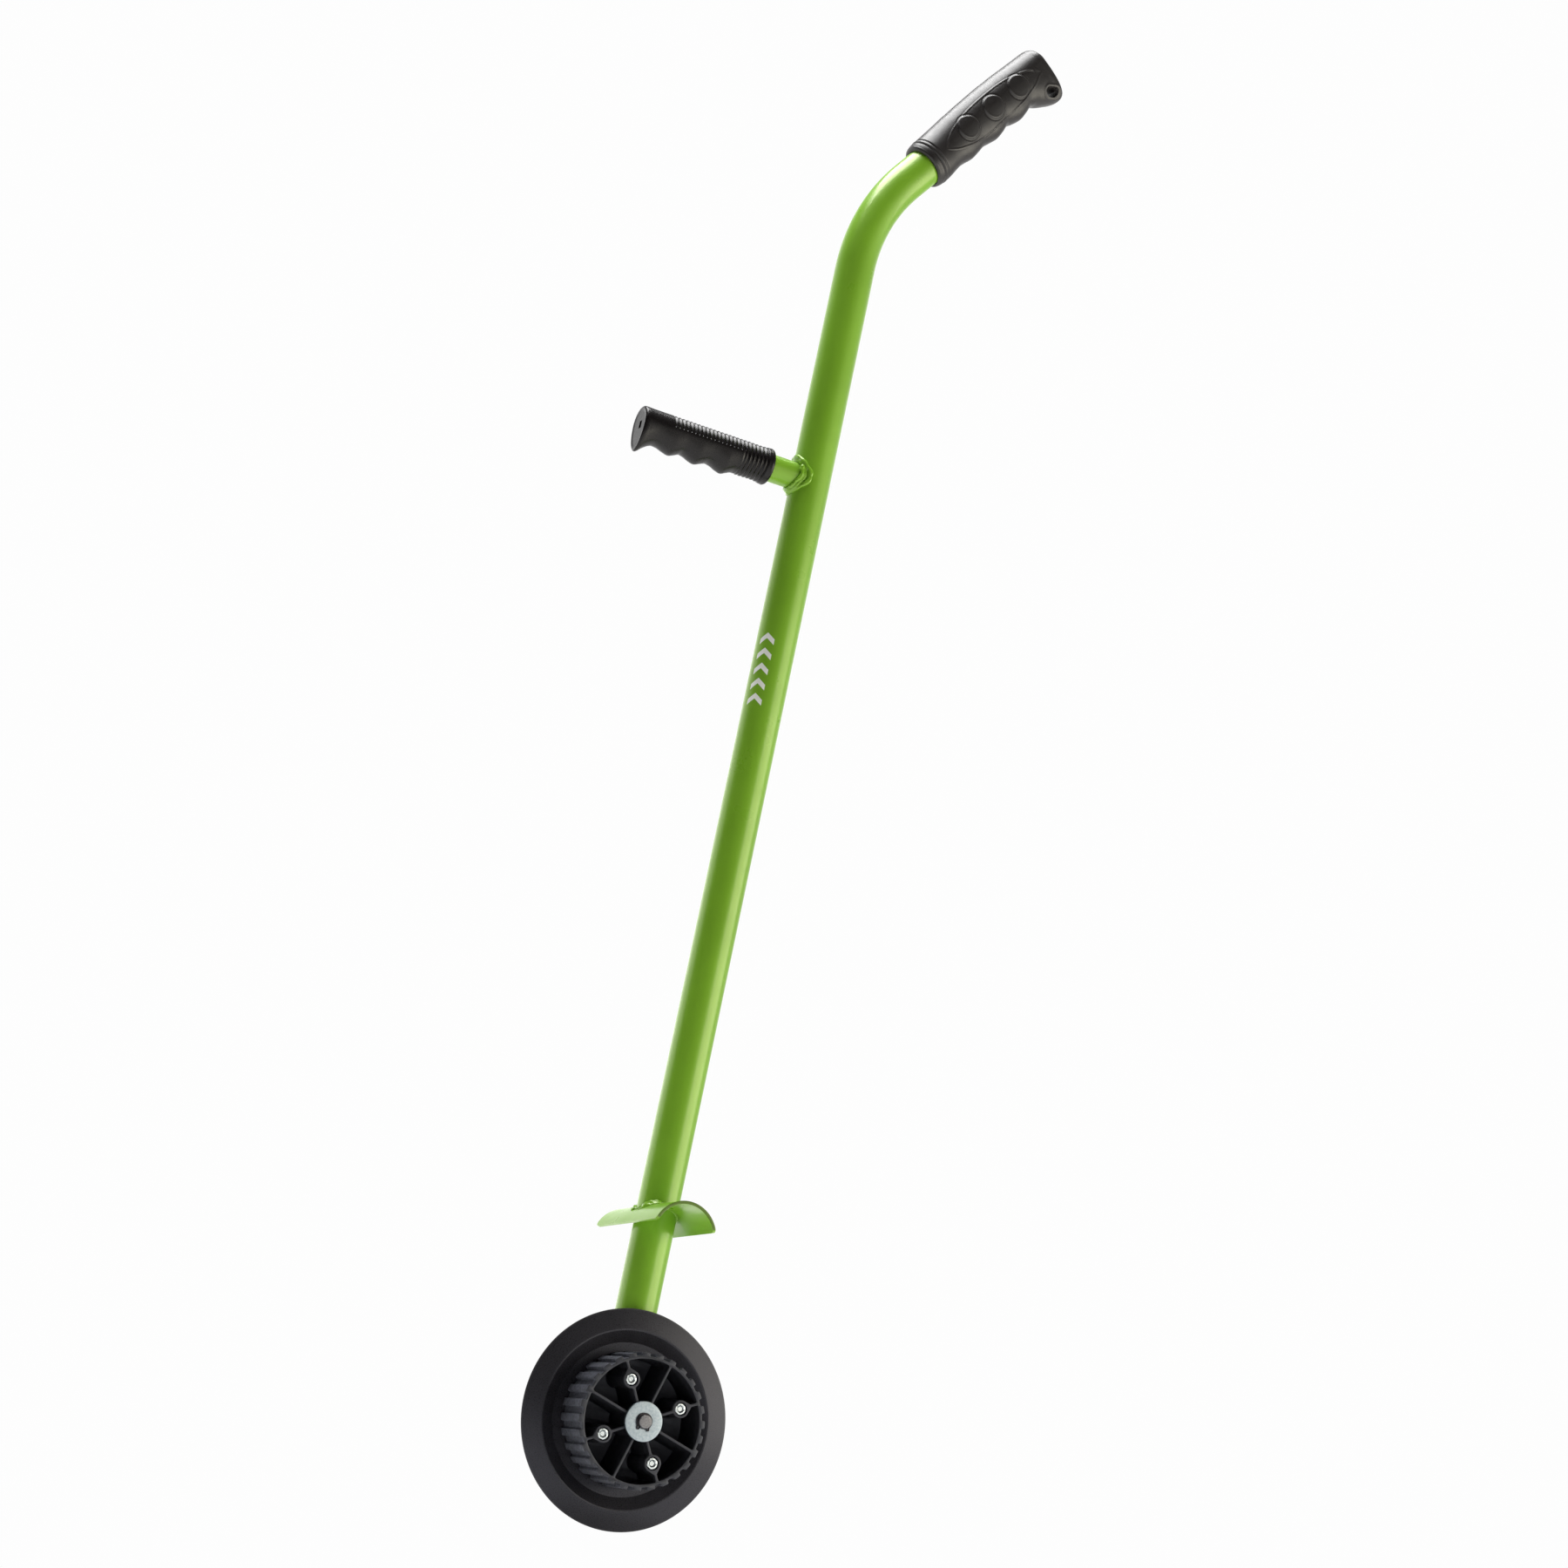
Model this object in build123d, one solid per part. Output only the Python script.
from build123d import *
import math
import os

# Rotary lawn edger: a dished steel cutting disc bolted to a toothed plastic roller, turning on a
# pin through the foot of a bent tube. Millimetres, +Z up along the tube's straight length, +Y along
# the axle. The roller faces -Y (the front), the tube's top end bends towards +X and the side handle
# points to -X. The pieces are laid out around the point where the tube's centre line crosses the
# axle, then moved by SHIFT, so the origin is on the ground, at the bottom centre of the overall box.

# ---------------------------------------------------------------- shared dimensions
CLEAR = 0.05              # running clearance on radius
END_GAP = 0.15            # gap between neighbours stacked along the axle
THROUGH = 100.0           # half length of the cutters that pass right through a piece

TUBE_R = 16.0             # shaft tube
TUBE_BORE_R = TUBE_R - 1.5
TUBE_FOOT_Z = -24.0       # cut end of the shaft tube, below the axle
STUB_R = 11.1             # side handle tube
STUB_WALL = 1.5
STUB_Z = 752.5
STUB_END_X = -143.0

AXLE_R = 5.0
AXLE_FRONT_Y = -63.6
AXLE_REAR_Y = 18.0
HUB_FRONT_Y = -57.4
HUB_BACK_Y = -17.9
SPIGOT_R = 10.0           # the hub's spigot, which centres the disc

BLADE_R = 82.5
BLADE_T = 2.0
BLADE_FLOOR_Y = -20.0     # front face of the dished floor, against the roller's back
ROLLER_FRONT_Y = -57.0

SCREW_R = 2.5
BOLT_CIRCLE_R = 32.0
BOLT_PHASE = 28.0         # degrees, first bolt from +X towards +Z
BOLT_ANGLES = [math.radians(BOLT_PHASE + 90 * k) for k in range(4)]
BOLT_XZ = [(BOLT_CIRCLE_R * math.cos(a), BOLT_CIRCLE_R * math.sin(a)) for a in BOLT_ANGLES]
BOSS_FRONT_Y = ROLLER_FRONT_Y + 0.3
NUT_BACK_Y = BOSS_FRONT_Y + 4.6   # floor of the nut pockets

SHIFT = (1.22, 3.74, BLADE_R)     # from the tube and axle's crossing to the origin


# ---------------------------------------------------------------- helpers
def cyl_x(r, x0, x1, y=0.0, z=0.0):
    return Pos((x0 + x1) / 2, y, z) * (Rot(0, 90, 0) * Cylinder(r, x1 - x0))


def cyl_y(r, y0, y1, x=0.0, z=0.0):
    """A cylinder along Y between y0 and y1, given in either order."""
    return Pos(x, (y0 + y1) / 2, z) * (Rot(90, 0, 0) * Cylinder(r, abs(y1 - y0)))


def cyl_z(r, z0, z1):
    return Pos(0, 0, (z0 + z1) / 2) * Cylinder(r, z1 - z0)


def through_y(r, x=0.0, z=0.0):
    return cyl_y(r, THROUGH, -THROUGH, x, z)


def through_z(r, z):
    """A long cylinder on the shaft's axis, centred at height z."""
    return cyl_z(r, z - THROUGH, z + THROUGH)


def cone_y(back_r, front_r, back_y, length, x, z):
    return Pos(x, back_y - length / 2, z) * (Rot(90, 0, 0) * Cone(back_r, front_r, length))


def largest(shape):
    return max(shape.solids(), key=lambda solid: solid.volume)


def fillet_if_possible(shape, edges, radius):
    """Guards against a fillet the kernel can't build: the edges then stay sharp."""
    try:
        return fillet(edges, radius)
    except Exception:
        return shape


# ---------------------------------------------------------------- shaft tube
BEND_START_Z = 935.5
BEND_R = 150.0            # centre-line radius
BEND_ANGLE = 36.0
NECK = 18.6               # straight tube between the bend and the main grip's mouth
EASE_START = 5.0          # inside the grip the tube bends back a little
EASE_R = 764.0
EASE_ANGLE = 3.0
TUBE_IN_GRIP = 126.0      # length of tube inside the main grip


def heading(angle):
    """Unit vector leaning by angle from +Z towards +X."""
    return Vector(math.sin(angle), 0, math.cos(angle))


def arc_end(start, a0, a1, r):
    """End of an arc that starts with heading a0 and ends with heading a1; r < 0 bends back."""
    return start + Vector(r * (math.cos(a0) - math.cos(a1)), 0, r * (math.sin(a1) - math.sin(a0)))


def arc(start, a0, a1, r):
    middle = arc_end(start, a0, (a0 + a1) / 2, r)
    return Edge.make_three_point_arc(start, middle, arc_end(start, a0, a1, r))


LEAN = math.radians(BEND_ANGLE)
TOP_LEAN = math.radians(BEND_ANGLE - EASE_ANGLE)
BEND_START = Vector(0, 0, BEND_START_Z)
BEND_END = arc_end(BEND_START, 0, LEAN, BEND_R)
MOUTH = BEND_END + heading(LEAN) * NECK

# main grip's frame: origin at the mouth, local x to +Y, local y up and away from the fingers,
# local z along the tube
GRIP = Plane(origin=MOUTH, x_dir=(0, 1, 0), z_dir=heading(LEAN))


def shaft_rod(r, extra=0.0):
    """A solid rod along the shaft's centre line, longer by extra at both ends."""
    foot = Vector(0, 0, TUBE_FOOT_Z - extra)
    ease_start = MOUTH + heading(LEAN) * EASE_START
    ease_end = arc_end(ease_start, LEAN, TOP_LEAN, -EASE_R)
    top_length = TUBE_IN_GRIP - EASE_START - EASE_R * math.radians(EASE_ANGLE)
    top = ease_end + heading(TOP_LEAN) * (top_length + extra)
    path = Wire([
        Edge.make_line(foot, BEND_START),
        arc(BEND_START, 0, LEAN, BEND_R),
        Edge.make_line(BEND_END, ease_start),
        arc(ease_start, LEAN, TOP_LEAN, -EASE_R),
        Edge.make_line(ease_end, top)])
    return sweep(Plane(origin=foot, z_dir=(0, 0, 1)) * Circle(r), path=path)


def shaft_tube():
    return shaft_rod(TUBE_R) - shaft_rod(TUBE_BORE_R, 1.0) - through_y(AXLE_R)


# ---------------------------------------------------------------- foot plug in the tube
PLUG_H = 14.0             # height inside the tube
PLUG_FIT = 0.02
PLUG_FLOOR_T = 2.0
PLUG_CUP_INSET = 2.2      # from the tube's bore to the plug's hollow
FLANGE_T = 3.0
FLANGE_ROUND = 1.8


def tube_end_plug():
    plug = cyl_z(TUBE_BORE_R - PLUG_FIT, TUBE_FOOT_Z, TUBE_FOOT_Z + PLUG_H)
    plug -= cyl_z(TUBE_BORE_R - PLUG_CUP_INSET, TUBE_FOOT_Z + PLUG_FLOOR_T,
                  TUBE_FOOT_Z + PLUG_H + 1)
    flange = cyl_z(TUBE_R, TUBE_FOOT_Z - FLANGE_T, TUBE_FOOT_Z)
    flange = fillet(flange.edges().group_by(Axis.Z)[0], FLANGE_ROUND)
    return plug + flange


# ---------------------------------------------------------------- side handle tube and its weld
SIDE_WELD_ON_STUB = 3.4   # the weld's reach outside the side handle tube
SIDE_WELD_ON_TUBE = 3.6   # and outside the shaft tube


def side_handle_tube():
    stub = cyl_x(STUB_R, STUB_END_X, 0, z=STUB_Z)
    stub = stub - cyl_x(STUB_R - STUB_WALL, STUB_END_X - 1, 1, z=STUB_Z)
    return largest(stub - through_z(TUBE_R, STUB_Z))


def side_handle_weld():
    weld = cyl_x(STUB_R + SIDE_WELD_ON_STUB, -24, 0, z=STUB_Z)
    weld = weld & through_z(TUBE_R + SIDE_WELD_ON_TUBE, STUB_Z)
    return largest(weld - through_z(TUBE_R, STUB_Z) - cyl_x(STUB_R, -60, 0, z=STUB_Z))


# ---------------------------------------------------------------- arched foot plate and its weld
PLATE_R = 26.2            # outer radius of the arch
PLATE_T = 2.5
PLATE_Z = 136.9           # height of the arch's centre line where it meets the tube's axis
PLATE_FOOT_DZ = 8.0       # the arch's two long edges stand this far above its centre line
PLATE_L = 118.6
PLATE_MID_Y = -4.1        # the plate reaches a little further forward than back
PLATE_TILT = -2.1         # degrees about X: the front end stands higher than the back end
PLATE_CORNER_R = 3.0
PLATE_WELD_ON_PLATE = 2.6
PLATE_WELD_ON_TUBE = 2.8
PLATE_WELD_END = 5.0      # the blank's length past the tube, trimmed away again


def tilted(shape):
    """From the plate's own frame, with Z up from the arch's centre line, to the tube's frame."""
    return Pos(0, 0, PLATE_Z) * (Rot(PLATE_TILT, 0, 0) * shape)


def foot_plate():
    front, back = PLATE_MID_Y - PLATE_L / 2, PLATE_MID_Y + PLATE_L / 2
    arch = cyl_y(PLATE_R, front, back) - through_y(PLATE_R - PLATE_T)
    arch = largest(arch - Pos(0, 0, PLATE_FOOT_DZ - 50) * Box(200, 300, 100))
    corners = [e for e in arch.edges()
               if e.geom_type == GeomType.LINE and e.length < PLATE_T + 1.0
               and min(abs(e.center().Y - front), abs(e.center().Y - back)) < 0.1]
    arch = fillet_if_possible(arch, corners, PLATE_CORNER_R)
    return largest(tilted(arch) - through_z(TUBE_R, PLATE_Z))


def foot_plate_weld():
    half = TUBE_R + PLATE_WELD_END
    weld = tilted(cyl_y(PLATE_R + PLATE_WELD_ON_PLATE, half, -half))
    weld = weld & cyl_z(TUBE_R + PLATE_WELD_ON_TUBE, PLATE_Z, PLATE_Z + 60)
    return largest(weld - through_z(TUBE_R, PLATE_Z) - tilted(through_y(PLATE_R)))


# ---------------------------------------------------------------- axle, its weld, washers and clip
AXLE_CHAMFER = 0.6
AXLE_WELD_W = 3.2
AXLE_WELD_Y = (17.2, 10.0)
INNER_WASHER_R = 10.5
WASHER_R = 14.9
WASHER_T = 2.4
WASHER_ROUND = 0.35
WASHER_BORE_CLEAR = 0.4
WASHER_BACK_Y = HUB_FRONT_Y - END_GAP
WASHER_FRONT_Y = WASHER_BACK_Y - WASHER_T

CLIP_T = 1.2
CLIP_BACK_Y = WASHER_FRONT_Y - END_GAP
CLIP_FRONT_Y = CLIP_BACK_Y - CLIP_T
CLIP_R = 6.4
CLIP_BORE_R = AXLE_R - 0.4
CLIP_OPENING = 3.0
EAR_R, EAR_X, EAR_Z = 1.7, 3.5, -6.1
EAR_HOLE_R, EAR_HOLE_X, EAR_HOLE_Z = 0.75, 3.7, -6.3


def axle_pin():
    axle = cyl_y(AXLE_R, AXLE_REAR_Y, AXLE_FRONT_Y)
    axle = chamfer(axle.edges().filter_by(GeomType.CIRCLE), AXLE_CHAMFER)
    groove = cyl_y(2 * AXLE_R, CLIP_BACK_Y + CLEAR, CLIP_FRONT_Y - CLEAR)
    return axle - (groove - through_y(CLIP_BORE_R - CLEAR))


def axle_weld():
    ring = cyl_y(AXLE_R + AXLE_WELD_W, *AXLE_WELD_Y) - through_y(AXLE_R)
    return largest(ring - through_z(TUBE_R, 0))


def inner_washer():
    washer = cyl_y(INNER_WASHER_R, -TUBE_R - CLEAR, HUB_BACK_Y + END_GAP)
    return washer - through_y(AXLE_R + CLEAR)


def front_washer():
    washer = cyl_y(WASHER_R, WASHER_BACK_Y, WASHER_FRONT_Y)
    washer = fillet(washer.edges().filter_by(GeomType.CIRCLE), WASHER_ROUND)
    return washer - through_y(AXLE_R + WASHER_BORE_CLEAR)


def retaining_clip():
    """An open ring with two eared ends, opening towards -Z."""
    clip = cyl_y(CLIP_R, CLIP_BACK_Y, CLIP_FRONT_Y) - through_y(CLIP_BORE_R)
    for side in (-1, 1):
        clip = clip + cyl_y(EAR_R, CLIP_BACK_Y, CLIP_FRONT_Y, x=side * EAR_X, z=EAR_Z)
    opening = Box(CLIP_OPENING, CLIP_T + 2, 10)
    clip = clip - Pos(0, (CLIP_BACK_Y + CLIP_FRONT_Y) / 2, -9) * opening
    for side in (-1, 1):
        clip = clip - through_y(EAR_HOLE_R, x=side * EAR_HOLE_X, z=EAR_HOLE_Z)
    return largest(clip)


# ---------------------------------------------------------------- cutting disc
BLADE_LIP_Y = -24.6       # front of the lip around the dish
BLADE_RIM_Y = -22.0       # front of the cutting edge
BLADE_EDGE_Y = BLADE_RIM_Y + 0.12   # outermost line of the cutting edge
BLADE_LIP_R = 67.0
BLADE_FLOOR_R = 57.6
BLADE_BORE_R = SPIGOT_R + 0.1
CREASE_R = 0.9
HEAD_CLEAR = 0.15

# (radius, y): out along the front face, back in along the back face
BLADE_PROFILE = [
    (BLADE_BORE_R, BLADE_FLOOR_Y), (BLADE_FLOOR_R - 0.2, BLADE_FLOOR_Y),
    (BLADE_LIP_R - 0.6, BLADE_LIP_Y), (BLADE_LIP_R + 1.8, BLADE_LIP_Y),
    (BLADE_R - 0.15, BLADE_RIM_Y), (BLADE_R, BLADE_EDGE_Y),
    (BLADE_R - 3.2, BLADE_EDGE_Y + 1.72),
    (BLADE_LIP_R + 2.2, BLADE_LIP_Y + BLADE_T), (BLADE_LIP_R + 0.4, BLADE_LIP_Y + BLADE_T),
    (BLADE_FLOOR_R + 0.6, BLADE_FLOOR_Y + BLADE_T), (BLADE_BORE_R, BLADE_FLOOR_Y + BLADE_T),
]


def countersink(x, z, clear=0.0):
    """The 45 degree screw head, as deep as the disc's floor and wide at the back."""
    front_r = SCREW_R + clear
    return cone_y(front_r + BLADE_T, front_r, BLADE_FLOOR_Y + BLADE_T, BLADE_T, x, z)


def cutting_disc():
    with BuildPart() as disc:
        with BuildSketch(Plane.XY):
            with BuildLine():
                Polyline(*BLADE_PROFILE, close=True)
            make_face()
        revolve(axis=Axis.Y)
    blade = disc.part
    creases = [e for e in blade.edges().filter_by(GeomType.CIRCLE)
               if BLADE_FLOOR_R - 2 < e.radius < BLADE_R - 6]
    blade = fillet_if_possible(blade, creases, CREASE_R)
    for x, z in BOLT_XZ:
        blade = blade - countersink(x, z, HEAD_CLEAR)
    return blade


# ---------------------------------------------------------------- roller and its bush
ROLLER_TIP_R = 50.4       # over the tread bars
ROLLER_RING_R = 47.9
ROLLER_BORE_R = 45.8      # inside of the roller's ring
ROLLER_BACK_Y = BLADE_FLOOR_Y
ROLLER_WEB_T = 3.0        # the wall across the roller's back
TREAD_BARS = 28
TREAD_W = 5.6
TREAD_BACK_GAP = 0.5      # the bars stop short of the roller's back
TREAD_CHAMFER = 0.5
TREAD_ROOT = 0.4          # overlap of the bars into the ring
HUB_R = 12.5
RIBS = 8
RIB_T = 2.0
RIB_FRONT_GAP = 0.8       # the ribs stop short of the roller's front
RIB_ROOT = 1.0            # overlap of the ribs into hub and ring
BOSS_R = 6.6
NUT_POCKET_R = 4.85
BUSH_R = 7.0
BUSH_PROUD = 0.1          # the bush stands out of the hub at each end


def radial_bar(r0, r1, y0, y1, width):
    """A bar along +X from r0 to r1."""
    return Pos((r0 + r1) / 2, (y0 + y1) / 2, 0) * Box(r1 - r0, y1 - y0, width)


def drive_roller():
    front, back = ROLLER_FRONT_Y, ROLLER_BACK_Y
    roller = cyl_y(ROLLER_RING_R, back, front)
    roller = roller - cyl_y(ROLLER_BORE_R, back - ROLLER_WEB_T, front - 1)

    bars = []
    for k in range(TREAD_BARS):
        bar = radial_bar(ROLLER_RING_R - TREAD_ROOT, ROLLER_TIP_R,
                         front, back - TREAD_BACK_GAP, TREAD_W)
        outer_edges = bar.edges().filter_by(Axis.Y).group_by(Axis.X)[-1]
        angle = BOLT_PHASE + (k + 0.5) * 360.0 / TREAD_BARS
        bars.append(Rot(0, -angle, 0) * chamfer(outer_edges, TREAD_CHAMFER))
    roller = roller + bars

    roller = roller + cyl_y(HUB_R, back, HUB_FRONT_Y)
    roller = roller + cyl_y(SPIGOT_R, HUB_BACK_Y, back)

    ribs = []
    for k in range(RIBS):
        rib = radial_bar(HUB_R - RIB_ROOT, ROLLER_BORE_R + RIB_ROOT,
                         front + RIB_FRONT_GAP, back, RIB_T)
        ribs.append(Rot(0, -(BOLT_PHASE + k * 360 / RIBS), 0) * rib)
    roller = roller + ribs

    for x, z in BOLT_XZ:
        roller = roller + cyl_y(BOSS_R, back, BOSS_FRONT_Y, x=x, z=z)
    for x, z in BOLT_XZ:
        roller = roller - through_y(SCREW_R + CLEAR, x, z)
        roller = roller - cyl_y(NUT_POCKET_R, NUT_BACK_Y, front - 5, x=x, z=z)
    return largest(roller - through_y(BUSH_R))


def hub_bush():
    bush = cyl_y(BUSH_R, HUB_BACK_Y + BUSH_PROUD, HUB_FRONT_Y - BUSH_PROUD)
    return bush - through_y(AXLE_R + CLEAR)


# ---------------------------------------------------------------- screws and nuts
NUT_AF = 8.0              # across flats
NUT_T = 4.0
NUT_CONE_BACK = 4.6       # cone that trims the nut's front corners: back radius past the flats
NUT_CONE_FRONT = -0.15    # and front radius
TIP_INSET = 1.1           # the screw ends this far inside the nut's front face
TIP_CHAMFER = 0.5
CROSS_L, CROSS_W, CROSS_DEPTH = 4.6, 0.9, 1.3   # recess in the head


def blade_screw(x, z):
    shank = cyl_y(SCREW_R, BLADE_FLOOR_Y, NUT_BACK_Y - NUT_T + TIP_INSET, x=x, z=z)
    screw = shank + countersink(x, z)
    tip = screw.edges().filter_by(GeomType.CIRCLE).group_by(Axis.Y)[0]
    screw = chamfer(tip, TIP_CHAMFER)
    for angle in (0, 90):
        arm = Rot(0, angle, 0) * Box(CROSS_L, 2 * CROSS_DEPTH, CROSS_W)
        screw = screw - Pos(x, BLADE_FLOOR_Y + BLADE_T, z) * arm
    return largest(screw)


def blade_nut(x, z):
    with BuildPart() as blank:
        with BuildSketch(Plane(origin=(x, NUT_BACK_Y, z), x_dir=(1, 0, 0), z_dir=(0, -1, 0))):
            RegularPolygon(NUT_AF / 2, 6, major_radius=False, rotation=BOLT_PHASE)
        extrude(amount=NUT_T)
    nut = blank.part & cone_y(NUT_AF / 2 + NUT_CONE_BACK, NUT_AF / 2 + NUT_CONE_FRONT,
                              NUT_BACK_Y, NUT_T, x, z)
    return largest(nut - through_y(SCREW_R, x, z))


def blade_screws():
    return Compound(children=[blade_screw(x, z) for x, z in BOLT_XZ])


def blade_nuts():
    return Compound(children=[blade_nut(x, z) for x, z in BOLT_XZ])


# ---------------------------------------------------------------- grips
SECTION_POINTS = 16


def section(plane, top, bottom, half, wide=0.0, square=2.0):
    """A closed smooth section, widest at height wide; square > 2 squares its lower part."""
    points = []
    for k in range(SECTION_POINTS):
        angle = 2 * math.pi * k / SECTION_POINTS
        c, s = math.cos(angle), math.sin(angle)
        if s >= -1e-9:
            x, y = half * c, wide + (top - wide) * s
        else:
            power = 2.0 / square
            x = math.copysign(half * abs(c) ** power, c)
            y = wide - (bottom + wide) * abs(s) ** power
        points.append(plane.from_local_coords(Vector(x, y, 0)))
    return Wire([Edge.make_spline(points, periodic=True)])


def loft_grip(frame, stations):
    wires = [section(frame.offset(along), *shape) for along, *shape in stations]
    return Part() + Solid.make_loft(wires, False)


# (distance from the mouth, reach above the axis, reach below it, half width,
# height of the widest place, squareness of the lower part)
MAIN_STATIONS = [
    (1.4, 18.3, 17.5, 17.9, 0.4, 2.0), (2.0, 19.3, 18.3, 18.8, 0.4, 2.0),
    (3.4, 20.1, 19.1, 19.6, 0.5, 2.0), (5.4, 20.5, 19.5, 19.9, 0.5, 2.0),
    (8.0, 20.8, 19.8, 20.1, 0.6, 2.0), (13.0, 21.0, 19.8, 20.0, 0.7, 2.05),
    (18.0, 21.2, 19.4, 19.6, 1.0, 2.1), (24.0, 21.5, 18.5, 19.1, 1.5, 2.15),
    (30.0, 21.8, 17.9, 18.8, 2.0, 2.2), (36.0, 22.1, 18.4, 18.6, 2.5, 2.2),
    (43.5, 22.6, 19.5, 18.5, 3.0, 2.2), (51.0, 22.8, 18.8, 18.4, 3.3, 2.2),
    (59.0, 23.2, 17.7, 18.4, 3.5, 2.2), (66.0, 23.4, 18.6, 18.4, 3.7, 2.2),
    (74.5, 23.6, 19.8, 18.4, 4.0, 2.2), (82.0, 23.8, 18.6, 18.4, 4.0, 2.2),
    (89.5, 23.9, 16.8, 18.4, 4.0, 2.2), (96.0, 23.7, 18.6, 18.3, 4.0, 2.25),
    (103.5, 23.7, 19.9, 18.3, 4.2, 2.3), (111.0, 23.5, 18.7, 18.2, 4.5, 2.35),
    (118.0, 23.2, 17.0, 18.1, 5.0, 2.4), (122.0, 23.1, 17.9, 18.0, 5.4, 2.45),
    (127.0, 22.9, 21.2, 17.8, 5.9, 2.5), (133.0, 22.7, 24.3, 17.6, 6.5, 2.55),
    (138.5, 22.6, 26.8, 17.3, 7.2, 2.6), (142.5, 22.4, 28.0, 17.0, 7.6, 2.6),
    (146.0, 22.1, 28.1, 16.8, 8.0, 2.6), (148.3, 21.4, 27.5, 16.2, 8.0, 2.6),
    (149.7, 20.3, 26.4, 15.2, 8.0, 2.6), (150.35, 18.9, 25.0, 13.9, 8.0, 2.6),
    (150.55, 17.4, 23.5, 12.7, 8.0, 2.5),
]
MOUTH_GROOVES = (8.0, 11.8)   # distances from the mouth
MOUTH_GROOVE_W = 1.1
MOUTH_GROOVE_R = 19.4         # floor radius
MOUTH_GROOVE_RISE = 0.5       # centre above the axis
HANG_ALONG = 139.0            # hang hole, along the grip from its mouth
HANG_DROP = 18.3              # and below the tube's centre line
HANG_R = 4.2
HANG_WALL = 21.0              # length of the round bore between the two recesses
RECESS_R = 4.6                # the oval recess round the hang hole's mouth
RECESS_L = 1.9                # from the oval's centre to its end arcs' centres
RECESS_DROP, RECESS_RUN = 0.62, 0.79   # the oval's direction, down and along the grip
RECESS_TILT = -16.0           # the same direction, degrees about Y from +X
PADS = (49.5, 80.8, 112.3)    # distances from the mouth
PAD_R, PAD_T = 10.2, 3.4
PAD_OUT, PAD_RISE = 17.6, 3.5  # the pad's centre, sideways and above the axis


def main_grip():
    bore = shaft_rod(TUBE_R)
    grip = loft_grip(GRIP, MAIN_STATIONS) - bore
    # two grooves that set off the mouth beads
    for along in MOUTH_GROOVES:
        ring = Cylinder(24, MOUTH_GROOVE_W) - Cylinder(MOUTH_GROOVE_R, 2)
        grip = grip - GRIP * Pos(0, MOUTH_GROOVE_RISE, along) * ring
    # hang hole through the flared heel
    hole = GRIP.from_local_coords(Vector(0, -HANG_DROP, HANG_ALONG))
    grip = grip - through_y(HANG_R, hole.X, hole.Z)
    # oval recess in each cheek, drawn out towards the heel
    for y in (-HANG_WALL / 2, HANG_WALL / 2):
        for end in (-RECESS_L, RECESS_L):
            centre = GRIP.from_local_coords(
                Vector(0, -HANG_DROP - RECESS_DROP * end, HANG_ALONG + RECESS_RUN * end))
            grip = grip - cyl_y(RECESS_R, y, math.copysign(40, y), x=centre.X, z=centre.Z)
        slot = Rot(0, RECESS_TILT, 0) * Box(2 * RECESS_L, 40, 2 * RECESS_R)
        grip = grip - Pos(hole.X, y + math.copysign(20, y), hole.Z) * slot
    # three round pads on each cheek
    for side in (-1, 1):
        for along in PADS:
            disc = Rot(0, 90, 0) * Cylinder(PAD_R, PAD_T)
            pad = GRIP * (Pos(side * PAD_OUT, PAD_RISE, along) * disc)
            grip = grip + (pad - bore)
    return largest(grip)


SIDE_MOUTH_X = -37.5
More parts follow.
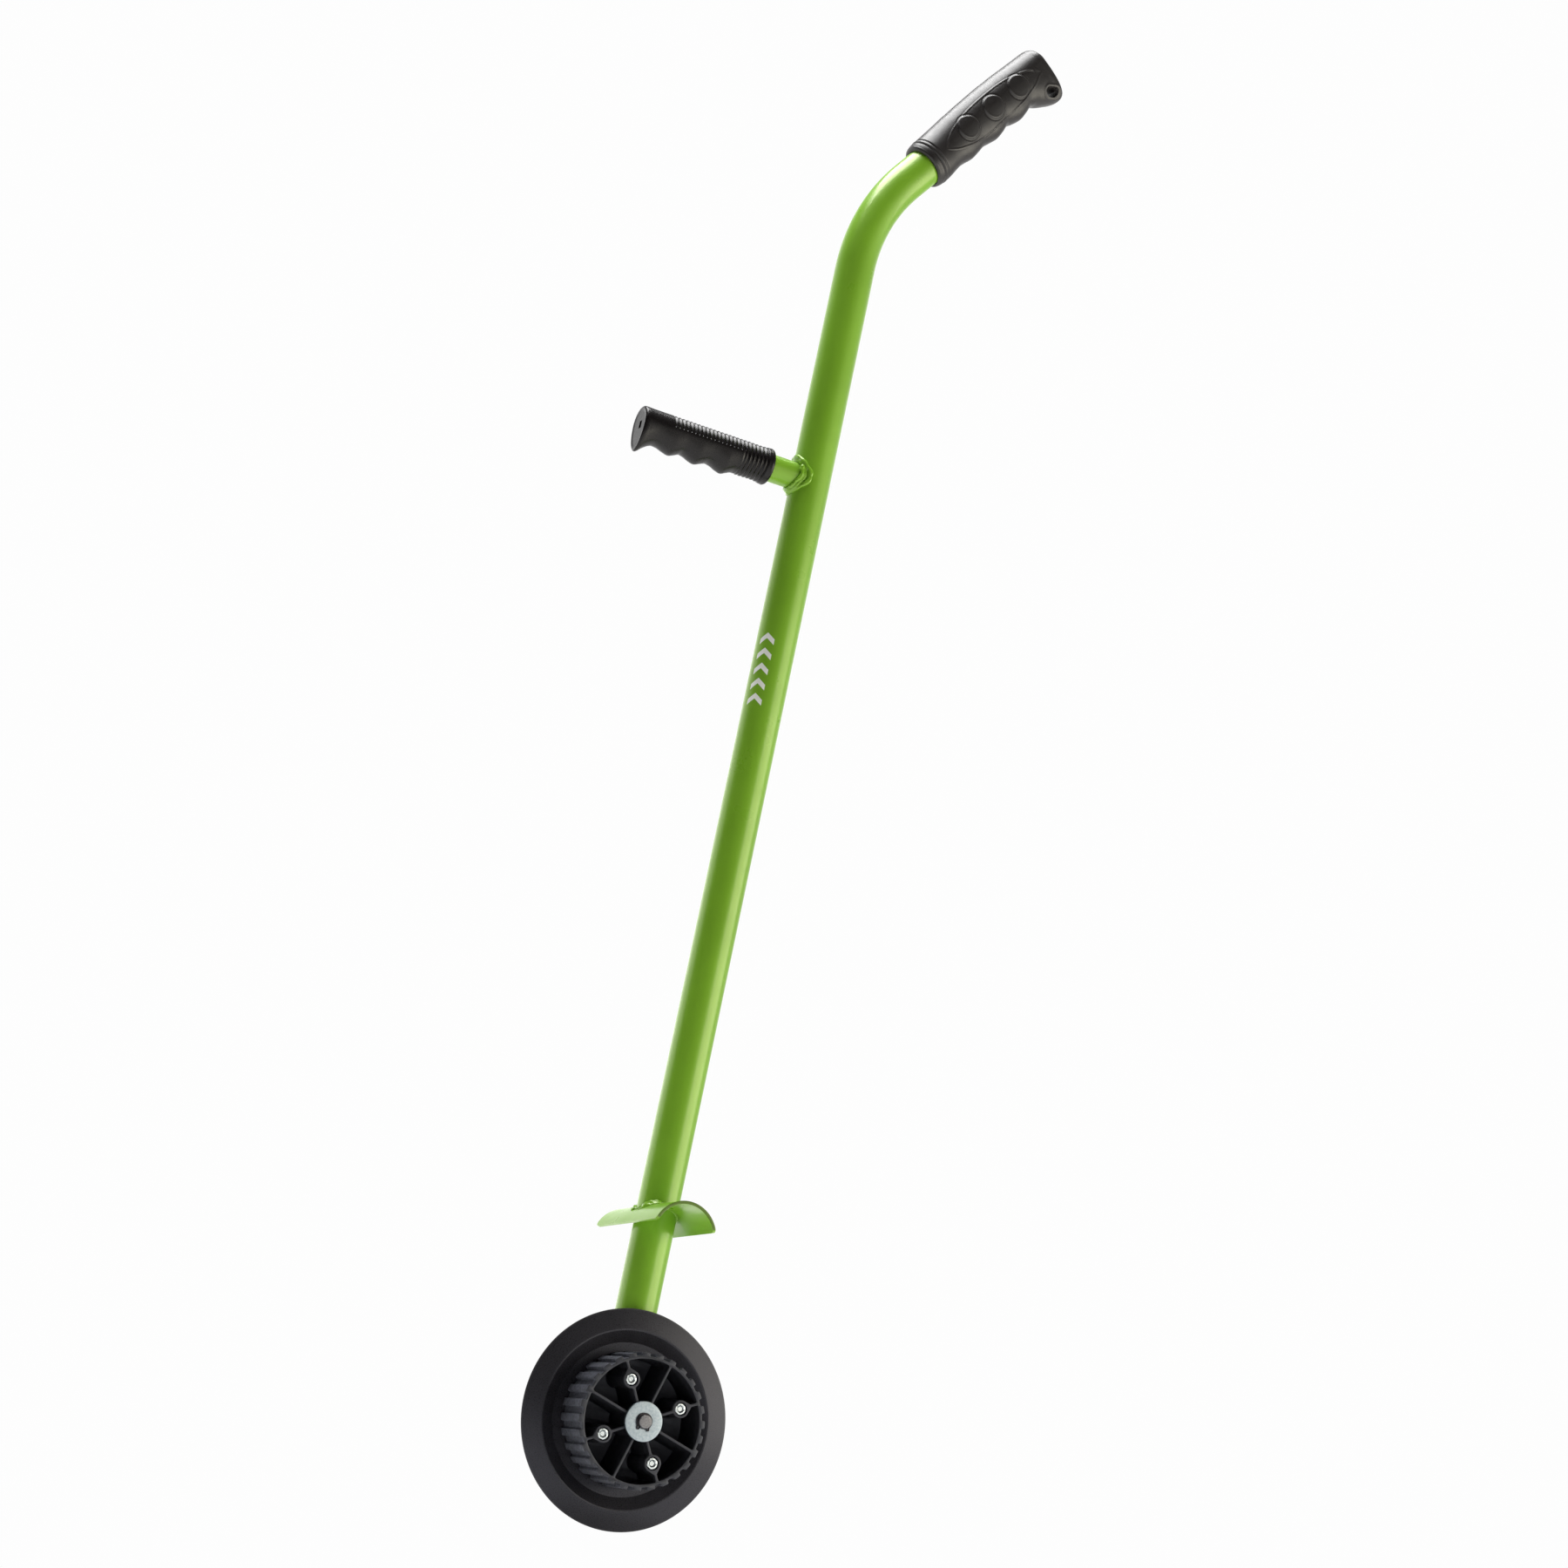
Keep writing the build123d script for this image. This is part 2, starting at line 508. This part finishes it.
# (distance from the mouth towards -X, reach above the axis, reach below it, half width)
SIDE_STATIONS = [
    (0.0, 13.7, 13.9, 13.6), (1.0, 14.6, 14.9, 14.4), (5.0, 14.7, 15.0, 14.5),
    (7.0, 14.4, 14.4, 14.1), (25.0, 14.3, 14.2, 13.9), (30.0, 14.3, 14.0, 13.8),
    (35.0, 14.3, 16.2, 13.8), (38.5, 14.3, 17.7, 13.7), (44.0, 14.3, 16.6, 13.6),
    (49.0, 14.3, 14.6, 13.6), (53.0, 14.3, 14.0, 13.6), (57.5, 14.3, 15.8, 13.6),
    (61.5, 14.3, 17.5, 13.6), (67.0, 14.3, 16.4, 13.6), (72.0, 14.3, 14.6, 13.6),
    (76.0, 14.3, 14.1, 13.6), (80.5, 14.3, 15.9, 13.6), (84.5, 14.3, 17.4, 13.6),
    (91.0, 14.3, 16.4, 13.6), (97.0, 14.3, 14.8, 13.6), (101.5, 14.3, 15.2, 13.6),
    (107.0, 14.4, 18.4, 13.6), (111.0, 14.4, 21.4, 13.6), (113.2, 13.8, 21.0, 13.0),
    (114.0, 12.9, 20.0, 12.2),
]
SIDE_END_X = SIDE_MOUTH_X - SIDE_STATIONS[-1][0]
SIDE_GROOVES = 26
FULL_GROOVES = 6          # those nearest the mouth run all round
FIRST_GROOVE = 7.6        # distance from the mouth
GROOVE_PITCH = 3.4
GROOVE_W = 1.5
GROOVE_R = 13.2           # floor radius
GROOVE_LOW = 3.0          # the other grooves stop this far above the axis
END_HOLE_R, END_HOLE_Y, END_HOLE_DZ = 2.6, 0.5, -0.8   # hole in the end wall


def side_grip():
    frame = Plane(origin=(SIDE_MOUTH_X, 0, STUB_Z), x_dir=(0, -1, 0), z_dir=(-1, 0, 0))
    grip = loft_grip(frame, SIDE_STATIONS) - cyl_x(STUB_R, STUB_END_X, 10, z=STUB_Z)
    for k in range(SIDE_GROOVES):
        x = SIDE_MOUTH_X - (FIRST_GROOVE + GROOVE_PITCH * k)
        ring = Cylinder(22, GROOVE_W) - Cylinder(GROOVE_R, 3)
        ring = Pos(x, 0, STUB_Z) * (Rot(0, 90, 0) * ring)
        if k >= FULL_GROOVES:
            ring = ring & (Pos(x, 0, STUB_Z + GROOVE_LOW + 50) * Box(10, 100, 100))
        grip = grip - ring
    end_hole = cyl_x(END_HOLE_R, SIDE_END_X - 1, STUB_END_X + 1,
                     y=END_HOLE_Y, z=STUB_Z + END_HOLE_DZ)
    return largest(grip - end_hole)


# ---------------------------------------------------------------- write the pieces
PIECES = [
    shaft_tube, tube_end_plug, side_handle_tube, side_handle_weld, foot_plate, foot_plate_weld,
    axle_pin, axle_weld, inner_washer, front_washer, retaining_clip, cutting_disc,
    drive_roller, hub_bush, blade_screws, blade_nuts, main_grip, side_grip,
]

os.makedirs("parts", exist_ok=True)
for piece in PIECES:
    # each file is named after the function that builds it
    export_step(Pos(*SHIFT) * piece(), os.path.join("parts", piece.__name__ + ".step"))
